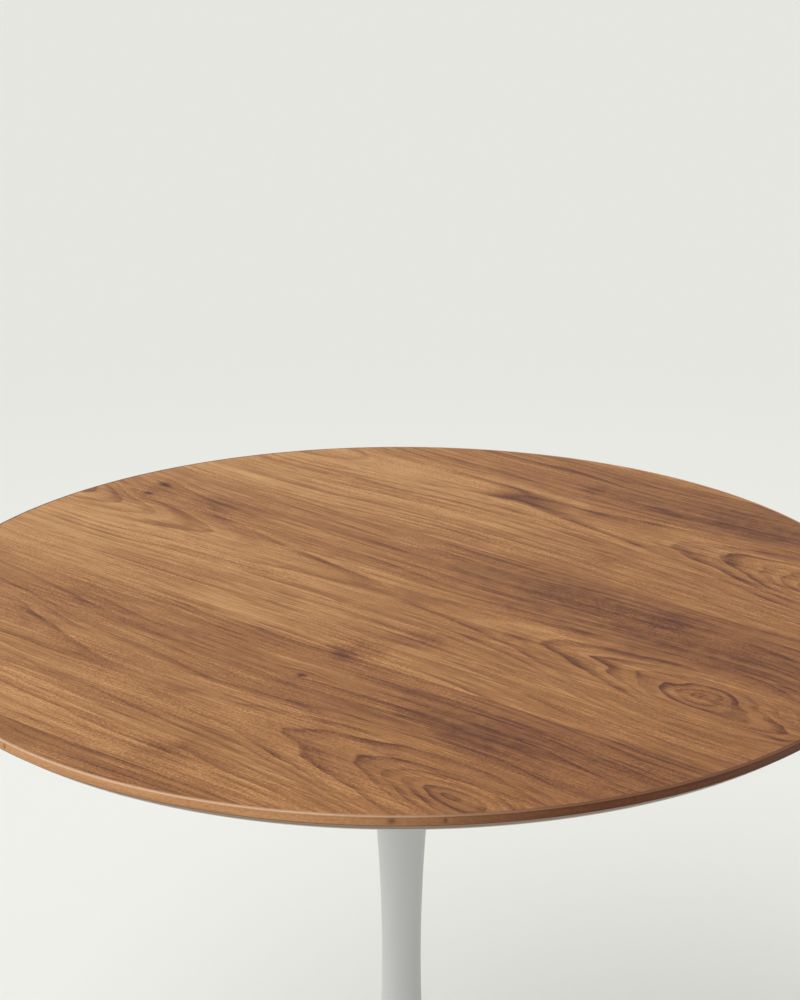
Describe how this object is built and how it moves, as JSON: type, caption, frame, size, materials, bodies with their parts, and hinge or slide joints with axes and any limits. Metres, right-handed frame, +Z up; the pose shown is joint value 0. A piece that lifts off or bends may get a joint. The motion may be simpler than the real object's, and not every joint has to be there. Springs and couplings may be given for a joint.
{
  "type": "round pedestal table",
  "caption": "Round table with a wood-veneered top, bevelled underneath, on a slender flared pedestal with a round foot and screw-adjusted levelling glides.",
  "frame": {"origin": "on the floor, on the axis of the stem", "axes": "+Z up through the middle of the top, +X to the right and +Y away as the picture looks at it"},
  "size_m": [1.0669, 1.067, 0.74],
  "materials": {
    "face_veneer": "satin",
    "edge_wood": "satin",
    "fibreboard": "matte",
    "painted_fibreboard": "satin",
    "backing_sheet": "matte",
    "grey_lacquer": "satin",
    "zinc_steel": "satin",
    "plain_steel": "satin",
    "brass": "satin",
    "nylon": "matte",
    "black_plastic": "matte"
  },
  "bodies": {
    "table": {"face_leaf_1": "face_veneer", "face_leaf_2": "face_veneer", "face_leaf_3": "face_veneer", "face_leaf_4": "face_veneer", "face_leaf_5": "face_veneer", "edge_lipping": "edge_wood", "core_panel": "fibreboard", "bevel_panel": "painted_fibreboard", "underside_backing": "backing_sheet", "threaded_inserts": "brass", "mounting_plate": "grey_lacquer", "plate_washers": "zinc_steel", "plate_screws": "zinc_steel", "stem_casting": "grey_lacquer", "foot_casting": "grey_lacquer", "locating_dowels": "plain_steel", "tie_rod": "zinc_steel", "tie_rod_washers": "zinc_steel", "tie_rod_nuts": "zinc_steel", "foot_cover": "black_plastic", "cover_screws": "zinc_steel"},
    "glide_sole_1": {"glide_sole_1": "nylon", "glide_cap_1": "zinc_steel"},
    "glide_stud_1": {"glide_stud_1": "zinc_steel"},
    "glide_sole_2": {"glide_sole_2": "nylon", "glide_cap_2": "zinc_steel"},
    "glide_stud_2": {"glide_stud_2": "zinc_steel"},
    "glide_sole_3": {"glide_sole_3": "nylon", "glide_cap_3": "zinc_steel"},
    "glide_stud_3": {"glide_stud_3": "zinc_steel"},
    "glide_sole_4": {"glide_sole_4": "nylon", "glide_cap_4": "zinc_steel"},
    "glide_stud_4": {"glide_stud_4": "zinc_steel"}
  },
  "joints": [
    {"name": "glide_lift_1", "type": "slide", "parent": "table", "child": "glide_sole_1", "axis": [0, 0, -1], "range_m": [0, 0.005]},
    {"name": "glide_turn_1", "type": "hinge", "parent": "glide_sole_1", "child": "glide_stud_1", "pos_m": [0.16971, 0.16971, 0.004], "axis": [0, 0, -1], "range_deg": [0, 1440]},
    {"name": "glide_lift_2", "type": "slide", "parent": "table", "child": "glide_sole_2", "axis": [0, 0, -1], "range_m": [0, 0.005]},
    {"name": "glide_turn_2", "type": "hinge", "parent": "glide_sole_2", "child": "glide_stud_2", "pos_m": [-0.16971, 0.16971, 0.004], "axis": [0, 0, -1], "range_deg": [0, 1440]},
    {"name": "glide_lift_3", "type": "slide", "parent": "table", "child": "glide_sole_3", "axis": [0, 0, -1], "range_m": [0, 0.005]},
    {"name": "glide_turn_3", "type": "hinge", "parent": "glide_sole_3", "child": "glide_stud_3", "pos_m": [-0.16971, -0.16971, 0.004], "axis": [0, 0, -1], "range_deg": [0, 1440]},
    {"name": "glide_lift_4", "type": "slide", "parent": "table", "child": "glide_sole_4", "axis": [0, 0, -1], "range_m": [0, 0.005]},
    {"name": "glide_turn_4", "type": "hinge", "parent": "glide_sole_4", "child": "glide_stud_4", "pos_m": [0.16971, -0.16971, 0.004], "axis": [0, 0, -1], "range_deg": [0, 1440]}
  ],
  "couplings": [
    {"joint": "glide_lift_1", "follows": "glide_turn_1", "m_per_rad": 0.00019894},
    {"joint": "glide_lift_2", "follows": "glide_turn_2", "m_per_rad": 0.00019894},
    {"joint": "glide_lift_3", "follows": "glide_turn_3", "m_per_rad": 0.00019894},
    {"joint": "glide_lift_4", "follows": "glide_turn_4", "m_per_rad": 0.00019894}
  ]
}
